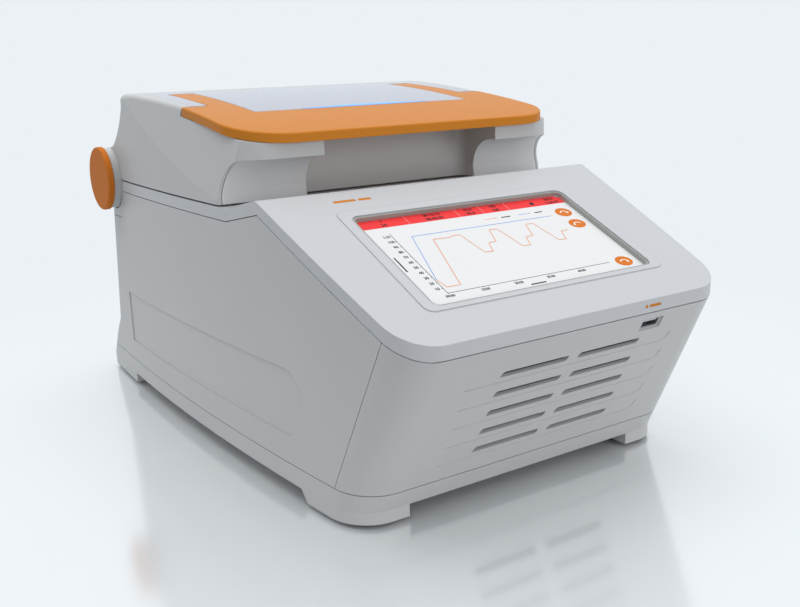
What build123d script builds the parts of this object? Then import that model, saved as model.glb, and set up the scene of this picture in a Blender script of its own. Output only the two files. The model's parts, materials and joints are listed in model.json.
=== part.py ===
from build123d import *
import os
from math import atan, cos, sin, sqrt

# Bench-top thermal cycler. Millimetres. +X is the user's right, -Y the front with the
# touch screen, +Z up. The origin is on the bench, under the middle of the housing.

# ---------------------------------------------------------------- driving dimensions
HALF_WIDTH = 127.3      # housing half-width where the bowed sides are widest
BOW_RADIUS = 2273.0     # radius of the bowed side walls in plan
BOW_Y = 48.0            # where the sides are widest
RAIL_Z = 9.7            # underside of the tray between the feet
TRAY_SEAM_Z = 21.2      # seam between tray and upper panels
TRAY_FRONT_Y = -171.3   # front of the tray at its underside
FASCIA_Y = -218.8       # vertical strip under the screen console
FASCIA_LOW_Z = 104.8
FRONT_SLOPE = (TRAY_FRONT_Y - FASCIA_Y) / (FASCIA_LOW_Z - RAIL_Z)  # forward lean
FASCIA_TOP_Z = 112.4
RIDGE_Y, RIDGE_Z = -85.4, 171.0
VALLEY_Y = -47.7
DECK_Z = 162.6          # deck that the lid closes onto
REAR_TOP_Y = 171.8
REAR_SLOPE = 0.159      # the back leans back by this much per mm going down
REAR_Y = 218.8
FRONT_CORNER_R = 24.0
REAR_CORNER_R = 7.0
PANEL_WALL = 2.5        # side, front and rear panels
COVER_WALL = 3.2        # top cover and tray
LIP_OUT, LIP_IN = 3.0, 4.5  # insets of the joining lip that overlaps a seam inside
SEAM = 0.5              # gap at a housing seam
PANEL_SPLIT_X = 105.0   # where side panels meet the rear panel

HINGE_Y, HINGE_Z = 162.6, 163.3
BARREL_R = 22.6         # hinge barrel of the lid
SEAT_GAP = 0.8          # round the hinge barrel
BODY_BARREL_X = 71.5    # half-length of the barrel's fixed middle
PIN_R = 5.0
RUN_GAP = 0.05          # radial clearance of a shaft in its bore

LID_BOTTOM_Z = 163.7
LID_FACE_Y = -39.5      # lower front face of the lid
LID_LIP_Y = -63.5       # lip under the handle
LID_LIP_Z = 190.3
LID_CORNER_R = 32.0
LID_WALL = 2.8
RECESS_HALF_X = 65.5    # finger recess in the lid's front
RECESS_FACE_Y = -25.5
TOP_FRONT = (-68.5, 205.1)   # three points of the crowned top line
TOP_MID = (22.7, 218.9)
TOP_REAR = (114.0, 226.0)

HANDLE_THICK = 5.6
HANDLE_HALF_X = 119.6
ARM_END_Y = 24.0        # where the wide outer arms of the handle end
STRIP_END_Y = 92.0      # where the narrow arms end, over the handle's pivot
STRIP_X = (83.5, 101.0)
INSERT_Y = -8.0         # inner edge of the handle's front bar
PANEL_HALF_X = 113.0    # half-width of the pale top panel
PIVOT_Y = 86.0
PIVOT_R = 3.0

SCREEN_W, SCREEN_H = 154.0, 86.0
BLOCK_Y = 46.0          # centre of the sample block
BLOCK_X_SIZE, BLOCK_Y_SIZE = 108.0, 76.0
BLOCK_TOP_Z = 160.2
BLOCK_LOW_Z = 141.0
WELL_COLUMNS, WELL_ROWS = 6, 4
WELL_PITCH = 16.0
WELL_R, WELL_TIP_R, WELL_DEEP = 4.1, 2.0, 16.0
FOOT_X, FOOT_FRONT_Y, FOOT_REAR_Y, FOOT_R = 98.0, -152.0, 190.0, 14.0

FLOOR_Z = RAIL_Z + COVER_WALL   # inside floor of the tray
FAR = 400.0             # larger than the object, for cutting tools
nodes = {}


def add(name, shape):
    """Keep a finished piece under its node name."""
    nodes[name] = shape


# ---------------------------------------------------------------- small helpers
def side_prism(points, x_low=-FAR, x_high=FAR):
    """A prism across the machine, from a closed outline of (y, z) points."""
    outline = make_face(Plane.YZ.offset(x_low) * Polyline(*points, close=True))
    return extrude(outline, x_high - x_low, dir=(1, 0, 0))


def block(x, y, z, radius=0.0):
    """A box from (low, high) pairs, with its upright edges rounded by radius."""
    solid = Pos((x[0] + x[1]) / 2, (y[0] + y[1]) / 2, (z[0] + z[1]) / 2)
    solid = solid * Box(x[1] - x[0], y[1] - y[0], z[1] - z[0])
    if radius:
        solid = fillet(solid.edges().filter_by(Axis.Z), radius)
    return solid


def rod_x(x, y, z, radius):
    """A round bar along X between two x values."""
    length = abs(x[1] - x[0])
    return Pos((x[0] + x[1]) / 2, y, z) * Rot(0, 90, 0) * Cylinder(radius, length)


def rod_y(x, y, z, radius):
    """A round bar along Y between two y values."""
    length = abs(y[1] - y[0])
    return Pos(x, (y[0] + y[1]) / 2, z) * Rot(90, 0, 0) * Cylinder(radius, length)


def rod_z(x, y, z, radius):
    """A round bar along Z between two z values."""
    return Pos(x, y, (z[0] + z[1]) / 2) * Cylinder(radius, abs(z[1] - z[0]))


def group(solids):
    """Several separate solids in one node."""
    return Compound(children=list(solids))


# ---------------------------------------------------------------- housing form
def front_y(z):
    """The leaning front face at height z."""
    return TRAY_FRONT_Y - FRONT_SLOPE * (z - RAIL_Z)


def rear_y(z):
    """The upper back face at height z."""
    return REAR_TOP_Y + REAR_SLOPE * (DECK_Z - z)


def bowed(solid, inset):
    """Trim a solid to the space between the two bowed sides, drawn in by inset."""
    centre = HALF_WIDTH - BOW_RADIUS
    for x in (centre, -centre):
        solid = solid & (Pos(x, BOW_Y, 90.0) * Cylinder(BOW_RADIUS - inset, FAR))
    return solid


def front_console_corner():
    """Where the leaning front face would meet the console, without the fascia."""
    rise = (RIDGE_Z - FASCIA_TOP_Z) / (RIDGE_Y - FASCIA_Y)
    height = FASCIA_TOP_Z - RAIL_Z + rise * (TRAY_FRONT_Y - FASCIA_Y)
    z = RAIL_Z + height / (1 + rise * FRONT_SLOPE)
    return (front_y(z), z)


def housing_form(inset):
    """The whole lower housing as one solid, drawn in by inset on every side."""
    front_top = [(FASCIA_Y, FASCIA_LOW_Z), (FASCIA_Y, FASCIA_TOP_Z)]
    if inset:
        front_top = [front_console_corner()]
    points = [(TRAY_FRONT_Y, RAIL_Z)] + front_top + [
        (RIDGE_Y, RIDGE_Z),
        (VALLEY_Y, DECK_Z),
        (REAR_TOP_Y, DECK_Z),
        (rear_y(50.0), 50.0),
        (203.0, 36.0),
        (REAR_Y, 14.0),
        (REAR_Y, RAIL_Z),
    ]
    outline = make_face(Plane.YZ.offset(-150.0) * Polyline(*points, close=True))
    if inset:
        outline = offset(outline, -inset, kind=Kind.INTERSECTION)
    form = bowed(extrude(outline, 300.0, dir=(1, 0, 0)), inset)
    front = [
        e for e in form.edges()
        if abs(e.center().X) > 90 and e.center().Y < -165 and e.bounding_box().size.Z > 4
    ]
    form = fillet(front, FRONT_CORNER_R - inset)
    rear = [
        e for e in form.edges()
        if abs(e.center().X) > 90 and e.center().Y > 170 and e.bounding_box().size.Z > 2
    ]
    form = fillet(rear, REAR_CORNER_R - inset)
    crests = [
        e for e in form.edges()
        if e.bounding_box().size.X > 150 and RIDGE_Y - 2 < e.center().Y < VALLEY_Y + 2
    ]
    form = fillet(crests, 6.0)
    seat = rod_x((-200, 200), HINGE_Y, HINGE_Z, BARREL_R + SEAT_GAP + inset)
    return form - seat


outer = housing_form(0.0)
inner_panel = housing_form(PANEL_WALL)
inner_cover = housing_form(COVER_WALL)
lip_ring = housing_form(LIP_OUT) - housing_form(LIP_IN)
panel_skin = outer - inner_panel
cover_skin = outer - inner_cover

TROUGH_Z = 134.5        # underside of the hinge trough

# The line under the top cover's band, seen from the side.
BAND_LINE = [
    (-FAR, FASCIA_LOW_Z),
    (-217.0, FASCIA_LOW_Z),
    (RIDGE_Y - 1.2, RIDGE_Z - 7.8),
    (VALLEY_Y, DECK_Z - 7.5),
    (141.0, DECK_Z - 7.5),
    (150.0, TROUGH_Z),
    (FAR, TROUGH_Z),
]


def above_band(drop):
    """Everything higher than the band line, moved down by drop."""
    lowered = [(y, z - drop) for y, z in BAND_LINE]
    return side_prism(lowered + [(FAR, FAR), (-FAR, FAR)])


def seam_y(z):
    """The leaning seam between front panel and side panels."""
    return -151.8 - FRONT_SLOPE * (z - TRAY_SEAM_Z)


def ahead_of_seam(shift):
    """Everything in front of the leaning seam, moved back by shift."""
    low, high = -50.0, 250.0
    return side_prism(
        [(-FAR, low), (seam_y(low) + shift, low), (seam_y(high) + shift, high), (-FAR, high)]
    )


console_tilt = atan((RIDGE_Z - FASCIA_TOP_Z) / (RIDGE_Y - FASCIA_Y))
console_mid = ((FASCIA_Y + RIDGE_Y) / 2, (FASCIA_TOP_Z + RIDGE_Z) / 2)
console = Plane(
    origin=(0, console_mid[0], console_mid[1]),
    x_dir=(1, 0, 0),
    z_dir=(0, -sin(console_tilt), cos(console_tilt)),
)
front_norm = sqrt(1 + FRONT_SLOPE**2)


def front_plane(z):
    """A plane on the leaning front face, its y axis going up the slope."""
    return Plane(
        origin=(0, front_y(z), z),
        x_dir=(1, 0, 0),
        z_dir=(0, -1 / front_norm, -FRONT_SLOPE / front_norm),
    )


rear_norm = sqrt(1 + REAR_SLOPE**2)


def rear_plane(x, z):
    """A plane on the back face, its z axis pointing out of the machine."""
    return Plane(
        origin=(x, rear_y(z), z),
        x_dir=(-1, 0, 0),
        z_dir=(0, 1 / rear_norm, REAR_SLOPE / rear_norm),
    )


def sunk(plane, width, height, low, high, radius=0.0, at=(0.0, 0.0)):
    """A rectangular plug on a plane, from depth low to depth high along its normal."""
    outline = Rectangle(width, height)
    if radius:
        outline = RectangleRounded(width, height, radius)
    return extrude(plane.offset(low) * Pos(at[0], at[1]) * outline, high - low)


# ---------------------------------------------------------------- bottom tray
def foot_places():
    """Centres of the four feet."""
    return [(x, y) for y in (FOOT_FRONT_Y, FOOT_REAR_Y) for x in (-FOOT_X, FOOT_X)]


def make_tray():
    """Floor pan with raised corner bosses for the feet."""
    low = block((-FAR, FAR), (-FAR, FAR), (-5, TRAY_SEAM_Z))
    tray = cover_skin & low
    join = lip_ring & block((-FAR, FAR), (-FAR, FAR), (TRAY_SEAM_Z - 4, TRAY_SEAM_Z + 5))
    join = join & block((-FAR, FAR), (-FAR, 180), (-5, FAR))
    shelf = outer & block((-FAR, FAR), (191.5, FAR), (TRAY_SEAM_Z - 3, TRAY_SEAM_Z))
    sole = [f for f in outer.faces() if f.center().Z < RAIL_Z + 0.01][0]
    skirt = extrude(sole, 7.2, dir=(0, 0, -1))
    front_boss = side_prism([(-118, RAIL_Z), (-124, 2.5), (-FAR, 2.5), (-FAR, RAIL_Z)])
    rear_boss = side_prism([(151, RAIL_Z), (151, 2.5), (FAR, 2.5), (FAR, RAIL_Z)])
    corners = block((-FAR, -83), (-FAR, FAR), (0, RAIL_Z))
    corners += block((83, FAR), (-FAR, FAR), (0, RAIL_Z))
    tray += join + shelf
    tray += skirt & (front_boss + rear_boss) & corners
    for x, y in foot_places():
        tray -= rod_z(x, y, (2.0, 4.0), FOOT_R + 0.2)
        tray -= rod_z(x, y, (3.0, 20.0), 2.1)
    for x in range(-4, 5):
        tray -= block((x * 14 - 2.5, x * 14 + 2.5), (-120, -50), (5, 15), 2.4)
    return tray


def make_foot(x, y):
    """Rubber foot with a waist and a rounded rim."""
    pad = rod_z(x, y, (0, 4.0), FOOT_R)
    pad = fillet(pad.edges().group_by(Axis.Z)[0], 1.2)
    return pad - rod_z(x, y, (-1, 1.6), 4.5) - rod_z(x, y, (-1, 5), 2.1)


# ---------------------------------------------------------------- front and side panels
VENT_ROWS_Z = [86.5, 74.1, 61.8, 49.4, 37.1]
VENT_X = (3.5, 50.0)
VENT_HIGH = 3.7


def vent_slot():
    """Outline of one front air slot, leaf-shaped."""
    low, high = VENT_X
    outline = make_face(
        Polyline(
            (low, -VENT_HIGH / 2),
            (high - 0.6, -VENT_HIGH / 2),
            (high, VENT_HIGH / 2),
            (low + 0.6, VENT_HIGH / 2),
            close=True,
        )
    )
    corners = outline.vertices()
    leaf = [v for v in corners if (v.X < 20) == (v.Y > 0)]
    return fillet(leaf, 2.6)


def make_front_panel():
    """Leaning front panel with air slots and the USB cut-out."""
    region = block((-FAR, FAR), (-FAR, 0), (TRAY_SEAM_Z + SEAM, 200))
    panel = panel_skin & region & ahead_of_seam(-SEAM / 2)
    panel -= above_band(SEAM)
    for z in VENT_ROWS_Z:
        plane = front_plane(z)
        for shift in (0.0, -(VENT_X[0] + VENT_X[1])):
            panel -= extrude(plane.offset(-6) * Pos(shift, 0) * vent_slot(), 12)
        groove = plane * Pos(0, -5.2)
        for run in GROOVE_RUNS:
            panel -= groove_run(groove, *run)
    panel -= sunk(front_plane(USB_Z), USB_W + 0.6, USB_H + 0.6, -6, 6, 1.0, (USB_X, 0))
    panel -= sunk(front_plane(USB_Z), USB_W + 3.4, USB_H + 2.4, -1.0, 6, 1.2, (USB_X, 0))
    return panel


GROOVE_RUNS = [((-72, 0), (69, 0)), ((69, 0), (73.4, 1.7)), ((73.4, 1.7), (75.2, 6.0))]
GROOVE_WIDE = 0.9
USB_X, USB_Z, USB_W, USB_H = 54.4, 96.6, 13.0, 5.6


def groove_run(base, start, end):
    """One straight stretch of a shallow round-bottomed groove."""
    first = (base * Pos(start[0], start[1])).position
    last = (base * Pos(end[0], end[1])).position
    way = last - first
    bar = Plane(first, z_dir=way).offset(way.length / 2) * Cylinder(GROOVE_WIDE / 2, way.length)
    return bar + Pos(last) * Sphere(GROOVE_WIDE / 2)


RELIEF_DEEP = 0.8
RELIEF = [(150, 76.2), (-112, 78.8), (-124, 68.0), (-118, 46.0), (-110, 38.6), (150, 37.2)]


def make_side_panel(sign):
    """Side panel that wraps the rear corner, with a shallow pressed relief."""
    x = sorted((sign * (PANEL_SPLIT_X + 0.25), sign * FAR))
    panel = panel_skin & block(x, (-FAR, FAR), (TRAY_SEAM_Z + SEAM, 200))
    panel -= ahead_of_seam(SEAM / 2)
    panel -= above_band(SEAM)
    relief = make_face(Plane.YZ.offset(-FAR) * Polyline(*RELIEF, close=True))
    turns = [v for v in relief.vertices() if v.Y < -100]
    relief = extrude(fillet(turns, 9.0), 2 * FAR, dir=(1, 0, 0))
    panel -= relief - bowed(relief, RELIEF_DEEP)
    return panel + flare_wall(sign)


def flare_wall(sign):
    """Inner wall that closes the flared rear foot of a side panel."""
    x = sorted((sign * (PANEL_SPLIT_X + 0.25), sign * (PANEL_SPLIT_X + 2.75)))
    wall = outer & block(x, (150, FAR), (TRAY_SEAM_Z + SEAM, TROUGH_Z - 8))
    depth = 4.0
    ahead = side_prism([(0, 0), (rear_y(0) - depth, 0), (rear_y(150) - depth, 150), (0, 150)])
    flange = sunk(rear_plane(sign * 100.6, 76.0), 12.0, 104.0, -6.0, -2.8)
    return (wall - ahead) + flange - rear_screw_holes()


# ---------------------------------------------------------------- rear panel
INLET_X, INLET_Z = 62.0, 42.0
SWITCH_X = 20.0
FUSE_X = -8.0
GRILLE_Z = [70.0 + 7.5 * i for i in range(9)]
GRILLE_X = (8.0, 66.0)


def rear_screw_places():
    """Where the rear panel is screwed to the side panels' flanges."""
    return [(x, z) for x in (-99.0, 99.0) for z in (32.0, 78.0, 124.0)]


def rear_screw_holes():
    """Clearance holes for the rear panel's screws."""
    holes = Part()
    for x, z in rear_screw_places():
        holes += extrude(rear_plane(x, z).offset(-10) * Circle(1.5), 14)
    return holes


def make_rear_panel():
    """Flat leaning back panel with the exhaust grille and the mains cut-outs."""
    low, high = TRAY_SEAM_Z + SEAM, TROUGH_Z - SEAM
    panel = side_prism(
        [
            (rear_y(low) - PANEL_WALL, low),
            (rear_y(low), low),
            (rear_y(high), high),
            (rear_y(high) - PANEL_WALL, high),
        ],
        -PANEL_SPLIT_X + 0.25,
        PANEL_SPLIT_X - 0.25,
    )
    for z in GRILLE_Z:
        for x in (-(GRILLE_X[0] + GRILLE_X[1]) / 2, (GRILLE_X[0] + GRILLE_X[1]) / 2):
            slot = rear_plane(x, z).offset(-5) * SlotOverall(GRILLE_X[1] - GRILLE_X[0], 4.2)
            panel -= extrude(slot, 10)
    panel -= sunk(rear_plane(INLET_X, INLET_Z), 27.4, 20.4, -5, 5, 2.0)
    panel -= sunk(rear_plane(SWITCH_X, INLET_Z), 19.4, 13.2, -5, 5, 0.8)
    panel -= extrude(rear_plane(FUSE_X, INLET_Z).offset(-5) * Circle(6.6), 10)
    panel -= rear_screw_holes()
    return panel


# ---------------------------------------------------------------- top cover
DECK_OPENING = (62.0, 43.0)     # half sizes in x and y round the sample block
LATCH_SLOT = ((-17, 17), (-21.0, -3))


def make_top_cover():
    """One-piece upper shell: screen console, ridge, lid deck and hinge trough."""
    trough = block((-104.8, 104.8), (128, 152), (TROUGH_Z, DECK_Z))
    cover = cover_skin & (above_band(0.0) + trough)
    lip = lip_ring & above_band(5.0) & (outer - above_band(-1.0))
    cover += lip & block((-FAR, FAR), (-FAR, 138), (0, FAR))
    cover += sunk(console, 2 * 85.0, 99.0, -1.0, 0.5, 6.0, (0, 1.5))
    cover -= sunk(console, SCREEN_W + 3.0, SCREEN_H + 3.0, -30, 10, 5.5)
    x_half, y_half = DECK_OPENING
    cover -= block((-x_half, x_half), (BLOCK_Y - y_half, BLOCK_Y + y_half), (140, 180), 8)
    cover -= block(LATCH_SLOT[0], LATCH_SLOT[1], (150, 175), 2)
    cover -= sunk(front_plane(USB_Z), USB_W + 3.0, USB_H + 6.0, -9.0, -PANEL_WALL, 0.0, (USB_X, 0))
    cover -= block((-44, 44), (HINGE_Y - 12, HINGE_Y + 6), (120, 145), 2)
    return cover


# ---------------------------------------------------------------- screen and controls
GLASS_DEPTH = 3.0


def make_screen_bezel():
    """Frame that lines the screen opening and holds the glass from below."""
    ring = sunk(console, SCREEN_W + 2.6, SCREEN_H + 2.6, -5.6, -0.2, 5.3)
    flange = sunk(console, SCREEN_W + 14, SCREEN_H + 14, -5.6, -3.6, 4.0)
    bezel = ring + flange
    bezel -= sunk(console, SCREEN_W, SCREEN_H, -3.0, 1.0, 4.0)
    bezel -= sunk(console, SCREEN_W + 1.0, SCREEN_H + 1.0, -6.0, -2.9, 4.2)
    return bezel


def make_touch_glass():
    """Touch glass, seen through the window."""
    return sunk(console, SCREEN_W + 0.6, SCREEN_H + 0.6, -GLASS_DEPTH - 1.6, -GLASS_DEPTH, 4.0)


def make_display_module():
    """Liquid crystal panel in its metal tray, under the glass."""
    return sunk(console, SCREEN_W + 8, SCREEN_H + 8, -12.0, -5.7, 2.0)


def make_display_bracket():
    """Pressed steel bracket that holds the display to the cover."""
    plate = sunk(console, 184, 98, -14.0, -12.4, 3.0)
    plate -= sunk(console, 110, 60, -15, -12, 4.0)
    for x in (-90, 90):
        plate += sunk(console, 4, 98, -12.5, -3.4, 0.0, (x, 0))
    return plate


def make_display_board():
    """Driver board behind the display, with its chips and plugs."""
    board = sunk(console, 130, 76, -20.6, -19.0)
    for x, y, width, height in ((-30, 10, 18, 18), (20, 12, 12, 10), (40, -22, 24, 6)):
        board += sunk(console, width, height, -22.6, -20.5, 0.0, (x, y))
    return board


def make_display_posts():
    """Spacers between display bracket and driver board."""
    posts = []
    for x in (-60, 60):
        for y in (-34, 34):
            posts.append(extrude(console.offset(-19.0) * Pos(x, y) * Circle(2.5), 5.0))
    return posts


def make_usb_shell():
    """Metal shell of the front USB socket."""
    plane = front_plane(USB_Z)
    shell = sunk(plane, USB_W, USB_H, -15.0, -1.2, 0.8, (USB_X, 0))
    shell -= sunk(plane, USB_W - 0.8, USB_H - 0.8, -14.4, 0.0, 0.5, (USB_X, 0))
    return shell


def make_usb_tongue():
    """Plastic contact tongue inside the USB socket."""
    return sunk(front_plane(USB_Z), 11.0, 1.8, -14.4, -2.0, 0.0, (USB_X, 1.3))


def make_vent_mesh():
    """Dust mesh behind the front slots."""
    mid = front_plane((VENT_ROWS_Z[0] + VENT_ROWS_Z[-1]) / 2)
    return sunk(mid, 112.0, 66.0, -3.6, -2.6, 2.0)


def make_seam_bracket(sign):
    """Moulded strip behind the seam of front and side panel."""
    strip = lip_ring & ahead_of_seam(7.0) & side_prism(
        [(-FAR, 27.0), (FAR, 27.0), (FAR, 200.0), (-FAR, 200.0)]
    )
    strip -= ahead_of_seam(-7.0)
    strip -= above_band(7.0)
    reach = block(sorted((sign * 90, sign * FAR)), (-FAR, FAR), (0, 200))
    return strip & reach


# ---------------------------------------------------------------- sample block and cooling
MODULE_HIGH = 4.0
SINK_BASE = 8.0
SINK_X, SINK_Y = 60.0, 48.0     # half sizes
SINK_TOP_Z = BLOCK_LOW_Z - MODULE_HIGH
SINK_LOW_Z = 72.0
FAN_SIZE, FAN_THICK = 66.0, 25.0
FAN_X, FAN_Z = 36.0, 96.0
FAN_Y = BLOCK_Y + SINK_Y + 3.0
DUCT_X = 74.0
DUCT_Z = (60.5, 130.5)


def well_places():
    """Centres of the sample wells."""
    return [
        (WELL_PITCH * (i - (WELL_COLUMNS - 1) / 2), BLOCK_Y + WELL_PITCH * (j - (WELL_ROWS - 1) / 2))
        for j in range(WELL_ROWS)
        for i in range(WELL_COLUMNS)
    ]


def make_sample_block():
    """Aluminium block with conical wells for half-millilitre tubes."""
    x_half, y_half = BLOCK_X_SIZE / 2, BLOCK_Y_SIZE / 2
    y_low, y_high = BLOCK_Y - y_half, BLOCK_Y + y_half
    solid = block((-x_half, x_half), (y_low, y_high), (BLOCK_LOW_Z, BLOCK_TOP_Z), 4)
    solid -= block((-FAR, FAR), (-FAR, y_low + 3), (150, 156))
    solid -= block((-FAR, FAR), (y_high - 3, FAR), (150, 156))
    for x, y in well_places():
        high = rod_z(x, y, (BLOCK_TOP_Z - 9, BLOCK_TOP_Z + 1), WELL_R)
        cone = Pos(x, y, BLOCK_TOP_Z - 9 - 3.5) * Cone(WELL_TIP_R, WELL_R, 7.0)
        solid -= high + cone
    return solid


def make_block_frame():
    """Insulating collar between the block and the deck opening."""
    x_half, y_half = DECK_OPENING
    rim_y = y_half + 4
    frame = block(
        (-x_half - 4, x_half + 4), (BLOCK_Y - rim_y, BLOCK_Y + rim_y), (DECK_Z, DECK_Z + 0.7), 8
    )
    frame += block(
        (-x_half + 0.4, x_half - 0.4),
        (BLOCK_Y - y_half + 0.4, BLOCK_Y + y_half - 0.4),
        (146.0, DECK_Z + 0.7),
        7.6,
    )
    inside = (BLOCK_X_SIZE / 2 + 3.2, BLOCK_Y_SIZE / 2 + 2.4)
    frame -= block(
        (-inside[0], inside[0]), (BLOCK_Y - inside[1], BLOCK_Y + inside[1]), (100, 200), 6
    )
    return frame


def make_block_gasket():
    """Silicone seal that fills the gap round the block."""
    outside = (BLOCK_X_SIZE / 2 + 3.2, BLOCK_Y_SIZE / 2 + 2.4)
    x_half, y_half = BLOCK_X_SIZE / 2, BLOCK_Y_SIZE / 2
    ring = block(
        (-outside[0], outside[0]), (BLOCK_Y - outside[1], BLOCK_Y + outside[1]), (156.6, 159.4), 6
    )
    return ring - block(
        (-x_half, x_half), (BLOCK_Y - y_half, BLOCK_Y + y_half), (100, 200), 4
    )


def make_peltier(column, row):
    """One thermoelectric module: two ceramic faces and the legs between."""
    middle = Pos(26.5 * (2 * column - 1), BLOCK_Y + 18.5 * (2 * row - 1), 0)
    tile = 0.9
    solid = Pos(0, 0, SINK_TOP_Z + tile / 2) * Box(48, 34, tile)
    solid += Pos(0, 0, BLOCK_LOW_Z - tile / 2) * Box(48, 34, tile)
    solid += Pos(0, 0, SINK_TOP_Z + MODULE_HIGH / 2) * Box(45, 31, MODULE_HIGH)
    return middle * solid


def make_heat_sink():
    """Extruded heat sink with fins along the air flow."""
    y_range = (BLOCK_Y - SINK_Y, BLOCK_Y + SINK_Y)
    solid = block((-SINK_X, SINK_X), y_range, (SINK_TOP_Z - SINK_BASE, SINK_TOP_Z))
    fins = 21
    pitch = (2 * SINK_X - 1.8) / (fins - 1)
    for i in range(fins):
        x = -SINK_X + i * pitch
        solid += block((x, x + 1.8), y_range, (SINK_LOW_Z, SINK_TOP_Z - SINK_BASE + 0.5))
    return solid


def make_clamp_screws():
    """Four screws that pull the block down onto the modules."""
    screws = []
    for x in (-49.0, 49.0):
        for y in (-1, 1):
            place_y = BLOCK_Y + y * (BLOCK_Y_SIZE / 2 + 5.2)
            screws.append(rod_z(x, place_y, (SINK_TOP_Z, 144.0), 2.0))
            screws[-1] += rod_z(x, place_y, (143.0, 145.6), 3.2)
    return screws


def make_sink_carrier():
    """Folded steel carrier that holds the heat sink over the power supply."""
    y = (BLOCK_Y - SINK_Y, BLOCK_Y + SINK_Y)
    outside = SINK_X + 24.5
    carrier = block((-outside, outside), y, (SINK_LOW_Z - 5, SINK_LOW_Z - 3.5))
    for side in (-1, 1):
        wall = sorted((side * (outside - 1.5), side * outside))
        carrier += block(wall, y, (FLOOR_Z, SINK_TOP_Z - 1.5))
        shelf = sorted((side * SINK_X, side * outside))
        carrier += block(shelf, y, (SINK_TOP_Z - 3.0, SINK_TOP_Z - 1.5))
    return carrier


def make_fan_frame(sign):
    """Square fan housing with a round throat and mounting holes."""
    x, half = sign * FAN_X, FAN_SIZE / 2
    frame = block((x - half, x + half), (FAN_Y, FAN_Y + FAN_THICK), (FAN_Z - half, FAN_Z + half))
    frame -= rod_y(x, (FAN_Y - 1, FAN_Y + FAN_THICK + 1), FAN_Z, half - 2.0)
    hub = rod_y(x, (FAN_Y + FAN_THICK - 4, FAN_Y + FAN_THICK), FAN_Z, 15.0)
    for turn in range(3):
        spoke = Pos(x, FAN_Y + FAN_THICK - 2, FAN_Z) * Rot(0, 120 * turn + 30, 0)
        hub += spoke * Pos(0, 0, half / 2) * Box(3.0, 3.0, half - 1)
    hub += rod_y(x, (FAN_Y + 6, FAN_Y + FAN_THICK - 2), FAN_Z, 2.5)
    return frame + hub


def make_fan_rotor(sign):
    """Fan hub with seven twisted blades, turning on the frame's shaft."""
    x, half = sign * FAN_X, FAN_SIZE / 2
    hub = rod_y(x, (FAN_Y + 2, FAN_Y + FAN_THICK - 5), FAN_Z, 14.0)
    hub = fillet(hub.edges().group_by(Axis.Y)[0], 1.5)
    blades = 7
    for i in range(blades):
        turn = Pos(x, FAN_Y + FAN_THICK / 2 - 1.5, FAN_Z) * Rot(0, 360 * i / blades, 0)
        hub += turn * Pos(0, 0, 21.5) * Rot(0, 0, 38) * Box(18.0, 1.4, 16.5)
    hub &= rod_y(x, (FAN_Y + 2, FAN_Y + FAN_THICK - 5), FAN_Z, half - 3.2)
    return hub - rod_y(x, (FAN_Y + 5.5, FAN_Y + FAN_THICK), FAN_Z, 2.5 + RUN_GAP)


def make_air_duct():
    """Sheet duct from the fans to the exhaust grille."""
    y_range = (FAN_Y + FAN_THICK + 0.5, rear_y(DUCT_Z[1]) - PANEL_WALL - 1)
    sheet = 1.2
    inside = block((-DUCT_X + sheet, DUCT_X - sheet), (0, FAR), (DUCT_Z[0] + sheet, DUCT_Z[1] - sheet))
    return block((-DUCT_X, DUCT_X), y_range, DUCT_Z) - inside


# ---------------------------------------------------------------- power and control


def make_power_supply():
    """Sheet steel case of the mains power supply, with vent slots in its lid."""
    case = block((-78, 78), (0, 94), (FLOOR_Z + 3, FLOOR_Z + 45), 2)
    case -= block((-76.5, 76.5), (1.5, 92.5), (FLOOR_Z + 4.5, FLOOR_Z + 43.5))
    for i in range(9):
        y = 12 + 9 * i
        for x in (-40, 40):
            case -= block((x - 28, x + 28), (y, y + 3), (FLOOR_Z + 43.5, FLOOR_Z + 50))
    return case


def make_supply_feet():
    """Four spacers under the power supply."""
    return [rod_z(x, y, (FLOOR_Z, FLOOR_Z + 3), 4.0) for x in (-68, 68) for y in (12, 82)]


def make_main_board():
    """Control board with processor, power transistors and connectors."""
    board = block((-85, 85), (-136, -22), (FLOOR_Z + 8, FLOOR_Z + 9.6))
    parts = [
        (-30, -80, 24, 24, 3), (20, -95, 14, 14, 2.5), (50, -60, 30, 12, 16), (-62, -45, 12, 26, 12),
        (-10, -32, 40, 9, 11), (62, -118, 20, 10, 9), (5, -60, 10, 18, 2.5), (-60, -110, 16, 16, 14),
    ]
    for x, y, wide, deep, high in parts:
        board += Pos(x, y, FLOOR_Z + 9.5 + high / 2) * Box(wide, deep, high)
    return board


def make_board_posts():
    """Six hexagon spacers under the control board."""
    posts = []
    for x in (-78, 0, 78):
        for y in (-130, -28):
            outline = Plane((x, y, FLOOR_Z)) * RegularPolygon(3.4, 6)
            posts.append(extrude(outline, 8.0, dir=(0, 0, 1)))
    return posts


def make_inlet():
    """Mains inlet: recessed moulding with a flange."""
    plane = rear_plane(INLET_X, INLET_Z)
    body = sunk(plane, 27.0, 20.0, -20.0, 0.0, 1.8)
    body += sunk(plane, 31.0, 24.5, 0.0, 2.2, 2.5)
    body -= sunk(plane, 24.4, 16.6, -16.5, 4.0, 3.0)
    return body - make_inlet_pins()


def make_inlet_pins():
    """Three flat pins of the mains inlet."""
    plane = rear_plane(INLET_X, INLET_Z)
    pins = [sunk(plane, 2.0, 4.0, -19.0, -1.5, 0.0, (0.0, 2.5))]
    for side in (-1, 1):
        pins.append(sunk(plane, 4.0, 2.0, -19.0, -2.5, 0.0, (side * 7.0, -1.5)))
    return group(pins)


ROCKER_TILT = 7.0
ROCKER_PIN_R = 1.0
ROCKER_DEEP = -3.0


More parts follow.
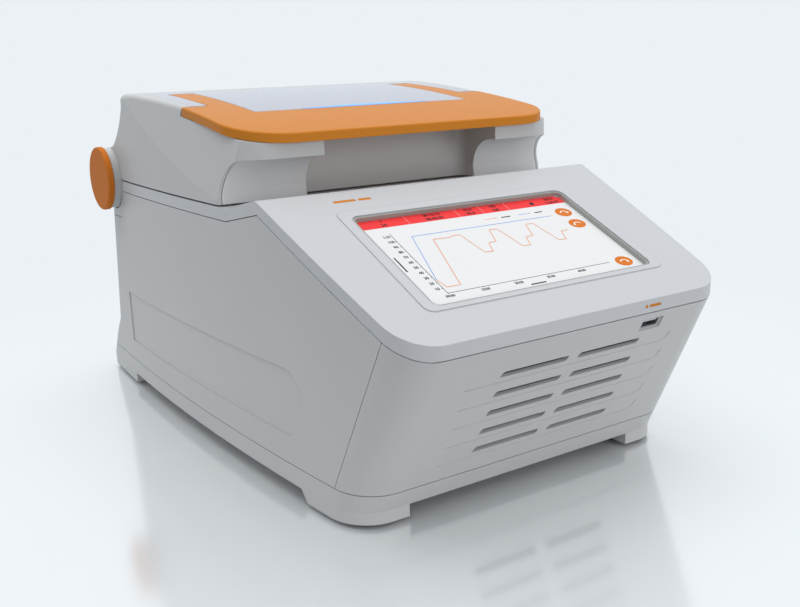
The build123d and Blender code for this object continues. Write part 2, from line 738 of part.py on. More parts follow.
def rocker_axle(radius, length):
    """A short bar on the rocker's axis."""
    return rear_plane(SWITCH_X, INLET_Z).offset(ROCKER_DEEP).location * Rot(90, 0, 0) * Cylinder(
        radius, length
    )


def make_switch_frame():
    """Snap-in frame of the power switch, with the pin that the rocker turns on."""
    plane = rear_plane(SWITCH_X, INLET_Z)
    body = sunk(plane, 19.0, 12.9, -12.0, 0.0, 0.6)
    body += sunk(plane, 21.5, 15.5, 0.0, 1.8, 1.2)
    body -= sunk(plane, 17.0, 11.0, -10.5, 4.0, 0.3)
    return body + rocker_axle(ROCKER_PIN_R, 12.0)


def make_power_rocker():
    """Rocker of the power switch, resting tilted to its off side."""
    level = rear_plane(SWITCH_X, INLET_Z).offset(ROCKER_DEEP)
    plane = Plane(level.location * Rot(0, ROCKER_TILT, 0))
    body = sunk(plane, 14.6, 10.2, -2.6, 4.8, 0.6)
    for side in (-1, 1):
        face = Plane(plane.offset(3.8).location * Rot(0, -side * ROCKER_TILT, 0))
        body -= sunk(face, 10.0, 12.0, 0.0, 5.0, 0.0, (side * 5.0, 0))
    return body - rocker_axle(ROCKER_PIN_R + RUN_GAP, 14.0)


def make_fuse_cap():
    """Screw cap of the panel fuse."""
    plane = rear_plane(FUSE_X, INLET_Z)
    body = extrude(plane.offset(-20) * Circle(6.4), 20.0)
    body += extrude(plane * Circle(8.4), 2.2)
    knob = extrude(plane.offset(2.2) * Circle(5.6), 4.0)
    return body + knob - sunk(plane, 8.0, 1.2, 5.0, 8.0)


def make_panel_screws():
    """Screws that hold the rear panel to the side panels' ribs."""
    screws = []
    for x, z in rear_screw_places():
        plane = rear_plane(x, z)
        head = extrude(plane * Circle(2.9), 1.5)
        head += extrude(plane.offset(-PANEL_WALL - 5) * Circle(1.4), PANEL_WALL + 5.2)
        screws.append(head - sunk(plane, 3.6, 0.8, 0.7, 3.0) - sunk(plane, 0.8, 3.6, 0.7, 3.0))
    return screws


# ---------------------------------------------------------------- lid form
def crown_circle():
    """Centre and radius of the circle through the three points of the crowned top."""
    (ay, az), (by, bz), (cy, cz) = TOP_FRONT, TOP_MID, TOP_REAR
    d = 2 * (ay * (bz - cz) + by * (cz - az) + cy * (az - bz))
    a2, b2, c2 = ay**2 + az**2, by**2 + bz**2, cy**2 + cz**2
    y = (a2 * (bz - cz) + b2 * (cz - az) + c2 * (az - bz)) / d
    z = (a2 * (cy - by) + b2 * (ay - cy) + c2 * (by - ay)) / d
    return y, z, sqrt((ay - y) ** 2 + (az - z) ** 2)


CROWN_Y, CROWN_Z, CROWN_R = crown_circle()


def top_z(y):
    """Height of the crowned top line at y."""
    return CROWN_Z + sqrt(CROWN_R**2 - (y - CROWN_Y) ** 2)


def under_crown(depth):
    """Everything under the crowned top, lowered by depth."""
    return rod_x((-FAR, FAR), CROWN_Y, CROWN_Z, CROWN_R - depth)


def lid_plan(inset):
    """Upright prism of the lid's plan outline, with round front corners."""
    solid = bowed(block((-FAR, FAR), (LID_LIP_Y - 0.7 + inset, 200 - inset), (140, 260)), inset)
    corners = [e for e in solid.edges().filter_by(Axis.Z) if e.center().Y < 0]
    return fillet(corners, LID_CORNER_R - inset)


SCOOP_LOW_Z = 171.0     # where the front face starts to curve out to the lip
LID_FRONT = [(LID_FACE_Y, LID_BOTTOM_Z), (LID_FACE_Y + 0.8, SCOOP_LOW_Z)]
LID_SCOOP = [(LID_FACE_Y + 0.8, SCOOP_LOW_Z), (LID_FACE_Y - 4.9, 184.7), (-57.0, LID_LIP_Z)]
LID_BACK = [(122.4, 217.5), (135.5, 200.7), (154.5, 187.4)]


def yz_arc(points):
    """A circular arc through three (y, z) points."""
    return ThreePointArc(*[(0, y, z) for y, z in points])


def yz_line(points):
    """Straight runs through (y, z) points."""
    return Polyline(*[(0, y, z) for y, z in points])


def lid_side_prism():
    """The lid's side outline across the machine, without the crowned top."""
    high = 260.0
    edges = [
        yz_line(LID_FRONT),
        yz_arc(LID_SCOOP),
        yz_line([LID_SCOOP[-1], (LID_LIP_Y, LID_LIP_Z), (LID_LIP_Y - 0.7, high), (121.6, high)]),
        yz_line([(121.6, high), LID_BACK[0]]),
        yz_arc(LID_BACK),
        yz_line([LID_BACK[-1], (HINGE_Y, HINGE_Z + BARREL_R)]),
        yz_line([(HINGE_Y, HINGE_Z + BARREL_R), (HINGE_Y, LID_BOTTOM_Z), LID_FRONT[0]]),
    ]
    outline = make_face(Wire([e for part in edges for e in part.edges()]))
    return extrude(Pos(-FAR, 0, 0) * outline, 2 * FAR, dir=(1, 0, 0))


SHOULDER_POINT = (126.8, 24.0, 185.0)
SHOULDER_NORMAL = (1.0, -0.090, 0.234)


def off_shoulders(solid, inset):
    """Trim a lid solid by the leaning planes of its two upper sides, drawn in by inset."""
    x, y, z = SHOULDER_POINT
    nx, ny, nz = SHOULDER_NORMAL
    for side in (-1, 1):
        plane = Plane(origin=(side * x, y, z), z_dir=(side * nx, ny, nz))
        solid -= extrude(plane.offset(-inset) * Rectangle(2 * FAR, 2 * FAR), 100.0)
    return solid


def make_lid_outer():
    """Outside of the closed lid as one solid."""
    solid = lid_side_prism() & lid_plan(0.0) & under_crown(0.0)
    top_edges = [
        e for e in solid.edges()
        if e.center().Z > 212 and (e.center().Y > 120 or e.bounding_box().size.Y > 100)
        and e.bounding_box().size.Z < 16 and e.geom_type != GeomType.ELLIPSE
    ]
    solid = off_shoulders(fillet(top_edges, 5.0), 0.0)
    shoulder_edges = [
        e for e in solid.edges()
        if e.geom_type == GeomType.ELLIPSE and abs(e.center().X) > 100
        and e.center().Z > 212 and e.bounding_box().size.Y > 60
    ]
    solid = fillet(shoulder_edges, 3.0)
    barrel = bowed(rod_x((-FAR, FAR), HINGE_Y, HINGE_Z, BARREL_R), 0.0)
    return solid + barrel


def handle_outline(grow):
    """Plan outline of the handle: front bar, two wide arms, two narrow arms."""
    half = HANDLE_HALF_X + grow
    front, wide_end, strip_end = TOP_FRONT[0] - grow, ARM_END_Y + grow, STRIP_END_Y + 4 * grow
    inner = STRIP_X[0] - grow
    bar = Pos(0, (front + wide_end) / 2) * Rectangle(2 * half, wide_end - front)
    bar = fillet([v for v in bar.vertices() if v.Y < 0], 34.0 + grow)
    bar = fillet([v for v in bar.vertices() if v.Y > 0], 2.0)
    outline = bar
    for side in (-1, 1):
        middle = side * (STRIP_X[0] + STRIP_X[1]) / 2
        wide = STRIP_X[1] - STRIP_X[0] + 2 * grow
        outline += Pos(middle, strip_end / 2) * Rectangle(wide, strip_end)
    back_cut = Pos(0, (INSERT_Y + grow + 60) / 2) * Rectangle(2 * inner, 60 - INSERT_Y - grow)
    return outline - back_cut


def panel_outline():
    """Plan outline of the pale top panel, fitted round the handle."""
    rear = 108.0
    whole = Pos(0, (INSERT_Y + rear) / 2) * Rectangle(2 * PANEL_HALF_X, rear - INSERT_Y)
    return whole - handle_outline(0.5)


def upright(outline):
    """A plan outline as a tall prism."""
    return extrude(Pos(0, 0, 150) * outline, 110.0, dir=(0, 0, 1))


PAD_DEEP = 2.4
PANEL_DEEP = 3.2
LID_INNER = [
    (-32.8, 140.0), (-32.4, 180.0), (-40.0, 191.0), (-54.0, 193.4), (-61.0, 193.4), (-61.0, 260.0),
    (118.6, 260.0), (119.4, 216.5), (128.0, 203.0), (138.0, 193.0), (138.0, 140.0),
]


def finger_recess(grow):
    """The hand space in the middle of the lid's front."""
    half = RECESS_HALF_X + grow
    return block((-half, half), (-120, RECESS_FACE_Y + grow), (140, 260), 8.0 + grow)


def pad_zone(grow):
    """Where the two grip pads sit, under the lip and beside the finger recess."""
    shift = PAD_DEEP + grow
    points = [(LID_FACE_Y - 30, 163.0 - grow), (LID_FACE_Y + shift, 163.0 - grow)]
    points += [(LID_FACE_Y + 0.8 + shift, SCOOP_LOW_Z), (LID_FACE_Y - 5.0 + shift, 185.0)]
    points += [(LID_FACE_Y - 12, LID_LIP_Z - 0.4 + grow), (LID_FACE_Y - 30, LID_LIP_Z - 0.4 + grow)]
    return off_shoulders(side_prism(points) & lid_plan(2.2 - grow), 2.2 - grow)


def make_lid_cover():
    """Outer shell of the lid with its finger recess and seats for handle and panel."""
    cavity = side_prism(LID_INNER) & lid_plan(LID_WALL) & under_crown(HANDLE_THICK + 2.8)
    cavity = off_shoulders(cavity, LID_WALL)
    cover = lid_outer - (cavity - finger_recess(LID_WALL))
    cover -= finger_recess(0.0)
    cover -= pad_zone(0.4)
    cover -= upright(handle_outline(0.5)) - under_crown(HANDLE_THICK + 0.3)
    cover -= block((-FAR, FAR), (-FAR, ARM_END_Y + 0.5), (180, 260)) - under_crown(HANDLE_THICK + 0.3)
    cover -= upright(panel_outline()) - under_crown(PANEL_DEEP)
    cover -= rod_x((-BODY_BARREL_X - 0.5, BODY_BARREL_X + 0.5), HINGE_Y, HINGE_Z, BARREL_R + SEAT_GAP)
    for side in (-1, 1):
        bore = sorted((side * 71.0, side * 119.0))
        cover -= rod_x(bore, HINGE_Y, HINGE_Z, KNUCKLE_R)
        cover -= rod_x(sorted((side * 110, side * 130)), HINGE_Y, HINGE_Z, COLLAR_SPIGOT_R)
        lug = sorted((side * (LUG_X[0] - 1.5), side * (LUG_X[1] + 1.5)))
        cover -= block(lug, (PIVOT_Y - 10, STRIP_END_Y + 2), (203, 240))
        strip = sorted((side * (STRIP_X[0] - 0.5), side * (STRIP_X[1] + 0.5)))
        heel = block(strip, (PIVOT_Y - 2, STRIP_END_Y + 2), (203, 240))
        cover -= heel - under_crown(HANDLE_THICK + 1.6)
        collar = sorted((side * COLLAR_X[0], side * COLLAR_X[1]))
        cover -= rod_x(collar, HINGE_Y, HINGE_Z, COLLAR_R + 0.2)
    return cover


KNUCKLE_R = 14.3
COLLAR_R = 22.6
COLLAR_X = (121.2, 131.0)
COLLAR_SPIGOT_R = 9.0
LUG_X = (88.0, 96.0)
PIVOT_Z = top_z(PIVOT_Y) - 12.8


def make_lid_base():
    """Inner floor of the lid with a shroud round the heated platen."""
    plate = lid_plan(LID_WALL + 0.2) & block(
        (-FAR, FAR), (-32.2, 137.6), (LID_BOTTOM_Z + 0.2, LID_BOTTOM_Z + 2.7)
    )
    plate -= finger_recess(LID_WALL + 0.2)
    y_range = (BLOCK_Y - 44, BLOCK_Y + 44)
    shroud = block((-62, 62), y_range, (LID_BOTTOM_Z + 1, 188.0), 6)
    plate += shroud
    plate -= block((-60, 60), (y_range[0] + 2, y_range[1] - 2), (140, 200), 5)
    return plate - block((-13, 13), (-21.5, -4.0), (140, 200), 1.5)


def make_grip_pad(side):
    """Scooped grip pad beside the finger recess."""
    pad = pad_zone(0.0) & lid_outer
    reach = sorted((side * (RECESS_HALF_X + 0.4), side * FAR))
    return pad & block(reach, (-FAR, FAR), (LID_BOTTOM_Z, 260))


def make_handle():
    """Lever handle: U-shaped plate on two arms, with pivot lugs at the back."""
    plate = upright(handle_outline(0.0)) & under_crown(0.0)
    plate -= under_crown(HANDLE_THICK)
    rims = []
    for edge in plate.edges():
        place = edge.center()
        outside = abs(place.X) > 84 or place.Y < TOP_FRONT[0] + 2
        if outside and place.Y < TOP_FRONT[0] + 60 and place.Z > top_z(place.Y) - 0.3:
            rims.append(edge)
    plate = fillet(rims, 1.2)
    for side in (-1, 1):
        x = sorted((side * LUG_X[0], side * LUG_X[1]))
        lug = block(x, (PIVOT_Y - 5.5, PIVOT_Y + 5.5), (PIVOT_Z, top_z(PIVOT_Y) - HANDLE_THICK + 1.5))
        lug += rod_x(x, PIVOT_Y, PIVOT_Z, 5.5)
        plate += lug
        plate -= rod_x(sorted((side * 80, side * 104)), PIVOT_Y, PIVOT_Z, PIVOT_R + RUN_GAP)
    return plate


def make_handle_pivots():
    """Two short shafts that the handle's lugs turn on."""
    return [rod_x(sorted((side * 84.0, side * 104.0)), PIVOT_Y, PIVOT_Z, PIVOT_R) for side in (-1, 1)]


def make_pivot_brackets():
    """Brackets under the lid's skin that hold the handle's shafts."""
    parts = []
    for side in (-1, 1):
        for x in (81.5, 100.0):
            wall = sorted((side * x, side * (x + 3.5)))
            high = top_z(PIVOT_Y) - HANDLE_THICK - 3.6
            cheek = block(wall, (PIVOT_Y - 7, PIVOT_Y + 7), (PIVOT_Z - 8, high))
            parts.append(cheek - rod_x((-FAR, FAR), PIVOT_Y, PIVOT_Z, PIVOT_R))
    return parts


def make_top_panel():
    """Pale glossy panel set into the lid's top."""
    panel = upright(panel_outline()) & under_crown(0.0)
    panel -= under_crown(PANEL_DEEP - 0.1)
    return panel - upright(light_bar_outline(0.2))


def light_bar_outline(grow):
    """Lens-shaped plan outline of the status light."""
    half, front = 50.0 + grow, INSERT_Y + 0.5
    arc = ThreePointArc((-half, front), (0, front + 5.6 + grow), (half, front))
    return make_face(Wire(list(arc.edges()) + list(Line((half, front), (-half, front)).edges())))


def make_light_bar():
    """Translucent status light along the front of the top panel."""
    return (upright(light_bar_outline(0.0)) & under_crown(-0.2)) - under_crown(PANEL_DEEP - 0.1)


# ---------------------------------------------------------------- hinge
def make_hinge_barrel():
    """Fixed middle of the hinge barrel, standing on the rear bridge."""
    barrel = rod_x((-BODY_BARREL_X, BODY_BARREL_X), HINGE_Y, HINGE_Z, BARREL_R)
    barrel += block((-42, 42), (HINGE_Y - 10, HINGE_Y + 4), (BRIDGE_TOP_Z, HINGE_Z))
    for side in (-1, 1):
        barrel -= rod_x(sorted((side * 45.0, side * FAR)), HINGE_Y, HINGE_Z, PIN_R)
    return barrel


BRIDGE_TOP_Z = 134.0


def make_rear_bridge():
    """Steel bridge that carries the hinge down to the tray."""
    bridge = block((-112, 112), (140, 168), (BRIDGE_TOP_Z - 2.5, BRIDGE_TOP_Z))
    for side in (-1, 1):
        x = sorted((side * 109.5, side * 112))
        bridge += block(x, (140, 168), (FLOOR_Z, BRIDGE_TOP_Z))
        foot = sorted((side * 96, side * 112))
        bridge += block(foot, (140, 168), (FLOOR_Z, FLOOR_Z + 2.5))
    return bridge


def make_hinge_pin(side):
    """Steel hinge pin, pressed into the fixed barrel."""
    return rod_x(sorted((side * 45.0, side * 118.0)), HINGE_Y, HINGE_Z, PIN_R)


def make_knuckle(side):
    """Aluminium sleeve in the lid that turns on the hinge pin."""
    x = sorted((side * 73.5, side * 119.0))
    sleeve = rod_x(x, HINGE_Y, HINGE_Z, KNUCKLE_R)
    return sleeve - rod_x((-FAR, FAR), HINGE_Y, HINGE_Z, PIN_R + RUN_GAP)


def make_hinge_washers():
    """Friction washers between the fixed barrel and the lid's sleeves."""
    rings = []
    for side in (-1, 1):
        x = sorted((side * (BODY_BARREL_X + 0.05), side * (BODY_BARREL_X + 1.6)))
        ring = rod_x(x, HINGE_Y, HINGE_Z, 11.0)
        rings.append(ring - rod_x((-FAR, FAR), HINGE_Y, HINGE_Z, PIN_R))
    return group(rings)


CAP_R = 23.6
CAP_X = 135.4


def make_collar(side):
    """Raised collar on the lid's side, round the hinge."""
    x = sorted((side * COLLAR_X[0], side * COLLAR_X[1]))
    collar = rod_x(x, HINGE_Y, HINGE_Z, COLLAR_R)
    rim = [e for e in collar.edges().filter_by(GeomType.CIRCLE) if abs(e.center().X) > COLLAR_X[1] - 1]
    collar = fillet(rim, 1.0)
    return collar + rod_x(sorted((side * 119.2, side * 122)), HINGE_Y, HINGE_Z, COLLAR_SPIGOT_R)


def make_cap(side):
    """Round hinge cap with a softly domed face."""
    x = sorted((side * (COLLAR_X[1] + 0.1), side * CAP_X))
    cap = rod_x(x, HINGE_Y, HINGE_Z, CAP_R)
    rim = [e for e in cap.edges().filter_by(GeomType.CIRCLE) if abs(e.center().X) > CAP_X - 1]
    return fillet(rim, 1.4)


# ---------------------------------------------------------------- heated platen and latch
PLATEN_X, PLATEN_Y = 56.0, 39.0     # half sizes
PLATEN_LOW_Z = 172.0
MAT_Z = (178.0, 179.2)
PAD_TOP_Z = 184.0
CARRIER_Z = (196.0, 199.0)
GUIDE_PLACES = [(x, BLOCK_Y + y) for x in (-48.0, 48.0) for y in (-31.0, 31.0)]
GUIDE_R = 2.0


def platen_layer(low, high, shrink=0.0):
    """A flat layer of the platen stack, drawn in by shrink."""
    x, y = PLATEN_X - shrink, PLATEN_Y - shrink
    return block((-x, x), (BLOCK_Y - y, BLOCK_Y + y), (low, high), 4)


def make_heated_platen():
    """Aluminium plate that presses on the tube caps."""
    plate = platen_layer(PLATEN_LOW_Z, MAT_Z[0])
    rim = plate.edges().group_by(Axis.Z)[0]
    return chamfer(rim, 0.8)


def make_heater_mat():
    """Silicone heating mat on the platen's back."""
    mat = platen_layer(MAT_Z[0], MAT_Z[1], 3.0)
    for x, y in GUIDE_PLACES:
        mat -= rod_z(x, y, (170, 200), 3.5)
    return mat


def make_platen_insulation():
    """Foam sheet that keeps the platen's heat down."""
    foam = platen_layer(MAT_Z[1], PAD_TOP_Z, 1.0)
    for x, y in GUIDE_PLACES:
        foam -= rod_z(x, y, (170, 200), 6.2)
    return foam


def make_guide_pins():
    """Four shouldered pins that guide the platen through its carrier."""
    pins = []
    for x, y in GUIDE_PLACES:
        pin = rod_z(x, y, (MAT_Z[0], CARRIER_Z[1] + 2.4), GUIDE_R)
        pins.append(pin + rod_z(x, y, (CARRIER_Z[1] + 0.05, CARRIER_Z[1] + 2.4), 3.6))
    return group(pins)


def make_platen_carrier():
    """Steel carrier in the lid that the platen's springs push against."""
    half_x, half_y = 58.0, 41.0
    plate = block((-half_x, half_x), (BLOCK_Y - half_y, BLOCK_Y + half_y), CARRIER_Z)
    for x, y in GUIDE_PLACES:
        plate -= rod_z(x, y, (190, 205), GUIDE_R + 0.08)
    plate -= block((-30, 30), (BLOCK_Y - 20, BLOCK_Y + 20), (190, 205), 4)
    for side in (-1, 1):
        wing = sorted((side * 57.0, side * 70.0))
        plate += block(wing, (BLOCK_Y - 20, BLOCK_Y + 20), CARRIER_Z)
        leg = sorted((side * 67.5, side * 70.0))
        plate += block(leg, (BLOCK_Y - 20, BLOCK_Y + 20), (LID_BOTTOM_Z + 2.7, CARRIER_Z[0] + 1))
    return plate


SPRING_TURNS = 4.0
SPRING_COIL_R, SPRING_WIRE_R = 4.6, 0.55


def make_platen_springs():
    """Four coil springs round the guide pins."""
    low, high = MAT_Z[1] + 0.1 + SPRING_WIRE_R, CARRIER_Z[0] - 0.1 - SPRING_WIRE_R
    springs = []
    for x, y in GUIDE_PLACES:
        path = Pos(x, y, low) * Helix((high - low) / SPRING_TURNS, high - low, SPRING_COIL_R)
        section = Plane(path @ 0, z_dir=path % 0) * Circle(SPRING_WIRE_R)
        springs.append(sweep(section, path, is_frenet=True))
    return group(springs)


HOOK_Y, HOOK_Z = -12.0, 186.0
HOOK_X = 9.0
HOOK_SHAFT_R = 2.0


def make_latch_hook():
    """Hook that reaches through the deck slot and catches under the strike."""
    points = [
        (-14.0, 186.0), (-14.0, 156.2), (-18.6, 156.2), (-18.6, 154.2), (-14.5, 151.0), (-11.0, 151.0),
        (-10.0, 186.0),
    ]
    hook = side_prism(points, -HOOK_X, HOOK_X) + rod_x((-HOOK_X, HOOK_X), HOOK_Y, HOOK_Z, 5.0)
    return hook - rod_x((-FAR, FAR), HOOK_Y, HOOK_Z, HOOK_SHAFT_R + RUN_GAP)


def make_latch_shaft():
    """Shaft of the latch hook."""
    return rod_x((-17.5, 17.5), HOOK_Y, HOOK_Z, HOOK_SHAFT_R)


def make_latch_bracket():
    """Two cheeks on the lid's floor that hold the hook's shaft."""
    cheeks = []
    for side in (-1, 1):
        x = sorted((side * 14.0, side * 16.5))
        cheek = block(x, (HOOK_Y - 6, HOOK_Y + 6), (LID_BOTTOM_Z + 2.7, HOOK_Z + 5))
        cheeks.append(cheek - rod_x((-FAR, FAR), HOOK_Y, HOOK_Z, HOOK_SHAFT_R))
    return cheeks


def make_latch_strike():
    """Steel strike plate under the deck."""
    under_deck = DECK_Z - COVER_WALL
    return block((-24, 24), (-40.0, -19.1), (under_deck - 2.2, under_deck))


lid_outer = make_lid_outer()

add("bottom_tray", make_tray())
add("rubber_feet", group(make_foot(x, y) for x, y in foot_places()))
add("front_panel", make_front_panel())
add("left_side_panel", make_side_panel(-1))
add("right_side_panel", make_side_panel(1))
add("rear_panel", make_rear_panel())
add("top_cover", make_top_cover())

add("screen_bezel", make_screen_bezel())
add("touch_glass", make_touch_glass())
add("display_module", make_display_module())
add("display_bracket", make_display_bracket())
add("display_board", make_display_board())
add("usb_shell", make_usb_shell())
add("usb_tongue", make_usb_tongue())
add("vent_mesh", make_vent_mesh())
add("seam_brackets", group(make_seam_bracket(side) for side in (-1, 1)))

add("sample_block", make_sample_block())
add("block_frame", make_block_frame())
add("block_gasket", make_block_gasket())
add("peltier_modules", group(make_peltier(i, j) for i in (0, 1) for j in (0, 1)))
add("heat_sink", make_heat_sink())
add("heat_sink_carrier", make_sink_carrier())
for side, sign in (("left", -1), ("right", 1)):
    add(f"{side}_fan_frame", make_fan_frame(sign))
    add(f"{side}_fan_rotor", make_fan_rotor(sign))
add("air_duct", make_air_duct())

add("power_supply", make_power_supply())
add("main_board", make_main_board())
add("board_spacers", group(make_display_posts() + make_supply_feet() + make_board_posts()))
add("mains_inlet", make_inlet())
add("inlet_pins", make_inlet_pins())
add("switch_frame", make_switch_frame())
add("power_rocker", make_power_rocker())
add("fuse_cap", make_fuse_cap())
add("screws", group(make_clamp_screws() + make_panel_screws()))

add("lid_cover", make_lid_cover())
add("lid_base", make_lid_base())
add("left_grip_pad", make_grip_pad(-1))
add("right_grip_pad", make_grip_pad(1))
add("handle_lever", make_handle())
add("handle_pivots", group(make_handle_pivots() + make_pivot_brackets()))
add("lid_top_panel", make_top_panel())
add("status_light", make_light_bar())
add("hinge_barrel", make_hinge_barrel())
add("rear_bridge", make_rear_bridge())
add("hinge_pins", group(make_hinge_pin(side) for side in (-1, 1)))
add("hinge_knuckles", group(make_knuckle(side) for side in (-1, 1)))
add("hinge_collars", group(make_collar(side) for side in (-1, 1)))
add("hinge_caps", group(make_cap(side) for side in (-1, 1)))
add("hinge_washers", make_hinge_washers())
add("heated_platen", make_heated_platen())
add("heater_mat", make_heater_mat())
add("platen_insulation", make_platen_insulation())
add("platen_guide_pins", make_guide_pins())
add("platen_carrier", make_platen_carrier())
add("platen_springs", make_platen_springs())
add("latch_hook", make_latch_hook())
add("latch_mount", group([make_latch_shaft()] + make_latch_bracket()))
add("latch_strike", make_latch_strike())

os.makedirs("parts", exist_ok=True)
for node_name, node_shape in nodes.items():
    export_step(node_shape, f"parts/{node_name}.step")
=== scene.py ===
"""Looks of a bench-top thermal cycler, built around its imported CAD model.

Metres, in the CAD's frame: +X is the user's right, -Y the front with the screen, +Z up.
"""
import json
import math

import bmesh
import bpy
from mathutils import Matrix, Vector


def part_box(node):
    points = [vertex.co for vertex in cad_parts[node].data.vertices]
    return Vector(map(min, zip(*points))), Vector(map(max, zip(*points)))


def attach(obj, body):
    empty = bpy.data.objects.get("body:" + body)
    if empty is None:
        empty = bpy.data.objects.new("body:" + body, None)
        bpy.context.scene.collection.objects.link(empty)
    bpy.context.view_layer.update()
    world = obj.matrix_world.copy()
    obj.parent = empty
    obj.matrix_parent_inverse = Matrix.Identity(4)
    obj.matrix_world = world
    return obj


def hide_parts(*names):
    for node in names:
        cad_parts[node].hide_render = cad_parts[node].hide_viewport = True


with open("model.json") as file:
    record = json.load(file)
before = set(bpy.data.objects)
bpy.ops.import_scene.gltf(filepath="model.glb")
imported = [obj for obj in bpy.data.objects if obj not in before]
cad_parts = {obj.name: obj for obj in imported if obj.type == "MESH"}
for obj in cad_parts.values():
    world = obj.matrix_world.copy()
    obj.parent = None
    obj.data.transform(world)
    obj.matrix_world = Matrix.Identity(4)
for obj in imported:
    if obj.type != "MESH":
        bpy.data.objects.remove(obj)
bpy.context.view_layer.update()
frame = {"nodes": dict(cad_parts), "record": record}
cad_nodes = frame["nodes"]
MM = 0.001


# ---------------------------------------------------------------- camera
LENS = 43.71
SENSOR_WIDTH = 36.0
CAMERA_PLACE = Vector((-351.0, -577.0, 245.8)) * MM
CAMERA_YAW, CAMERA_PITCH, CAMERA_ROLL = 0.5797, 0.2484, -0.0302    # radians


def make_camera():
    """The camera, at the left front corner and looking slightly down."""
    forward = Vector(
        (
            math.sin(CAMERA_YAW) * math.cos(CAMERA_PITCH),
            math.cos(CAMERA_YAW) * math.cos(CAMERA_PITCH),
            -math.sin(CAMERA_PITCH),
        )
    )
    right = Vector((math.cos(CAMERA_YAW), -math.sin(CAMERA_YAW), 0.0))
    up = right.cross(forward)
    c, s = math.cos(CAMERA_ROLL), math.sin(CAMERA_ROLL)
    turn = Matrix((c * right + s * up, c * up - s * right, -forward)).transposed()
    data = bpy.data.cameras.new("camera")
    data.lens = LENS
    data.sensor_width = SENSOR_WIDTH
    camera = bpy.data.objects.new("camera", data)
    camera.matrix_world = Matrix.Translation(CAMERA_PLACE) @ turn.to_4x4()
    bpy.context.scene.collection.objects.link(camera)
    bpy.context.scene.camera = camera


# ---------------------------------------------------------------- materials
NOISE_LOW, NOISE_HIGH = 0.3, 0.7    # most noise values lie between these
BEVEL_SAMPLES = 6


class Graph:
    """A material's nodes, with short calls for the ones used here."""

    def __init__(self, name):
        self.material = bpy.data.materials.new(name)
        self.material.use_nodes = True
        self.nodes = self.material.node_tree.nodes
        self.links = self.material.node_tree.links
        self.shader = self.nodes["Principled BSDF"]
        self.place = self.nodes.new("ShaderNodeTexCoord").outputs["Object"]

    def stretched(self, scale):
        """Object coordinates, scaled differently along X, Y and Z."""
        mapping = self.nodes.new("ShaderNodeMapping")
        mapping.inputs["Scale"].default_value = scale
        self.links.new(self.place, mapping.inputs["Vector"])
        return mapping.outputs["Vector"]

    def noise(self, size, detail=2.0, place=None):
        """Noise whose features are about size metres across."""
        node = self.nodes.new("ShaderNodeTexNoise")
        node.inputs["Scale"].default_value = 1.0 / size
        node.inputs["Detail"].default_value = detail
        self.links.new(place or self.place, node.inputs["Vector"])
        return node.outputs["Fac"]

    def spread(self, value, low, high):
        """A 0 to 1 noise value, mapped to low to high."""
        node = self.nodes.new("ShaderNodeMapRange")
        node.inputs["From Min"].default_value = NOISE_LOW
        node.inputs["From Max"].default_value = NOISE_HIGH
        node.inputs["To Min"].default_value = low
        node.inputs["To Max"].default_value = high
        self.links.new(value, node.inputs["Value"])
        return node.outputs["Result"]

    def mix(self, factor, first, second):
        """A colour between first and second."""
        node = self.nodes.new("ShaderNodeMix")
        node.data_type = "RGBA"
        self.links.new(factor, node.inputs["Factor"])
        node.inputs[6].default_value = (*first, 1.0)
        node.inputs[7].default_value = (*second, 1.0)
        return node.outputs[2]

    def bump(self, height, distance, edge=0.0):
        """Surface relief from a height value, on edges softened by edge metres."""
        node = self.nodes.new("ShaderNodeBump")
        node.inputs["Distance"].default_value = distance
        self.links.new(height, node.inputs["Height"])
        if edge:
            soft = self.nodes.new("ShaderNodeBevel")
            soft.samples = BEVEL_SAMPLES
            soft.inputs["Radius"].default_value = edge
            self.links.new(soft.outputs["Normal"], node.inputs["Normal"])
        self.links.new(node.outputs["Normal"], self.shader.inputs["Normal"])

    def drive(self, socket, value):
        """Connect a value to one of the shader's sockets."""
        self.links.new(value, self.shader.inputs[socket])

    def set(self, **values):
        """Set the shader's own sockets, with _ for a space in their names."""
        for name, value in values.items():
            self.shader.inputs[name.replace("_", " ")].default_value = value


def shade(colour, factor):
    """A colour made lighter or darker."""
    return tuple(min(1.0, c * factor) for c in colour)


CLOUD_SIZE = 60 * MM        # size of the faint clouds in a plastic's colour
SMUDGE_SIZE = 4 * MM        # size of the patches in its roughness
ROUGH_SPREAD = 0.02
METAL_GRAIN = 0.4           # mm
METAL_RELIEF = 0.01         # mm
METAL_EDGE = 0.3            # mm
TRACK_SCALE = 220.0
TRACK_GAP = 0.012
TRACK_RELIEF = 0.03         # mm
GLASS_ROUGH = 0.12


def moulded(name, colour, rough, grain, relief, mottle, edge=0.4, **extra):
    """Moulded or painted plastic: fine grain, cloudy colour, softened edges. Sizes in mm."""
    g = Graph(name)
    clouds = g.noise(CLOUD_SIZE, 3.0)
    g.drive("Base Color", g.mix(clouds, shade(colour, 1 - mottle), shade(colour, 1 + mottle)))
    g.drive("Roughness", g.spread(g.noise(SMUDGE_SIZE), rough - ROUGH_SPREAD, rough + ROUGH_SPREAD))
    g.bump(g.noise(grain * MM, 3.0), relief * MM, edge * MM)
    g.set(**extra)
    return g.material


def metal(name, colour, rough, along):
    """Machined or brushed metal, its marks stretched by the scale along."""
    g = Graph(name)
    marks = g.noise(METAL_GRAIN * MM, 4.0, g.stretched(along))
    g.drive("Base Color", g.mix(marks, shade(colour, 0.88), shade(colour, 1.08)))
    g.drive("Roughness", g.spread(marks, rough - 0.06, rough + 0.1))
    g.bump(marks, METAL_RELIEF * MM, METAL_EDGE * MM)
    g.set(Metallic=1.0)
    return g.material


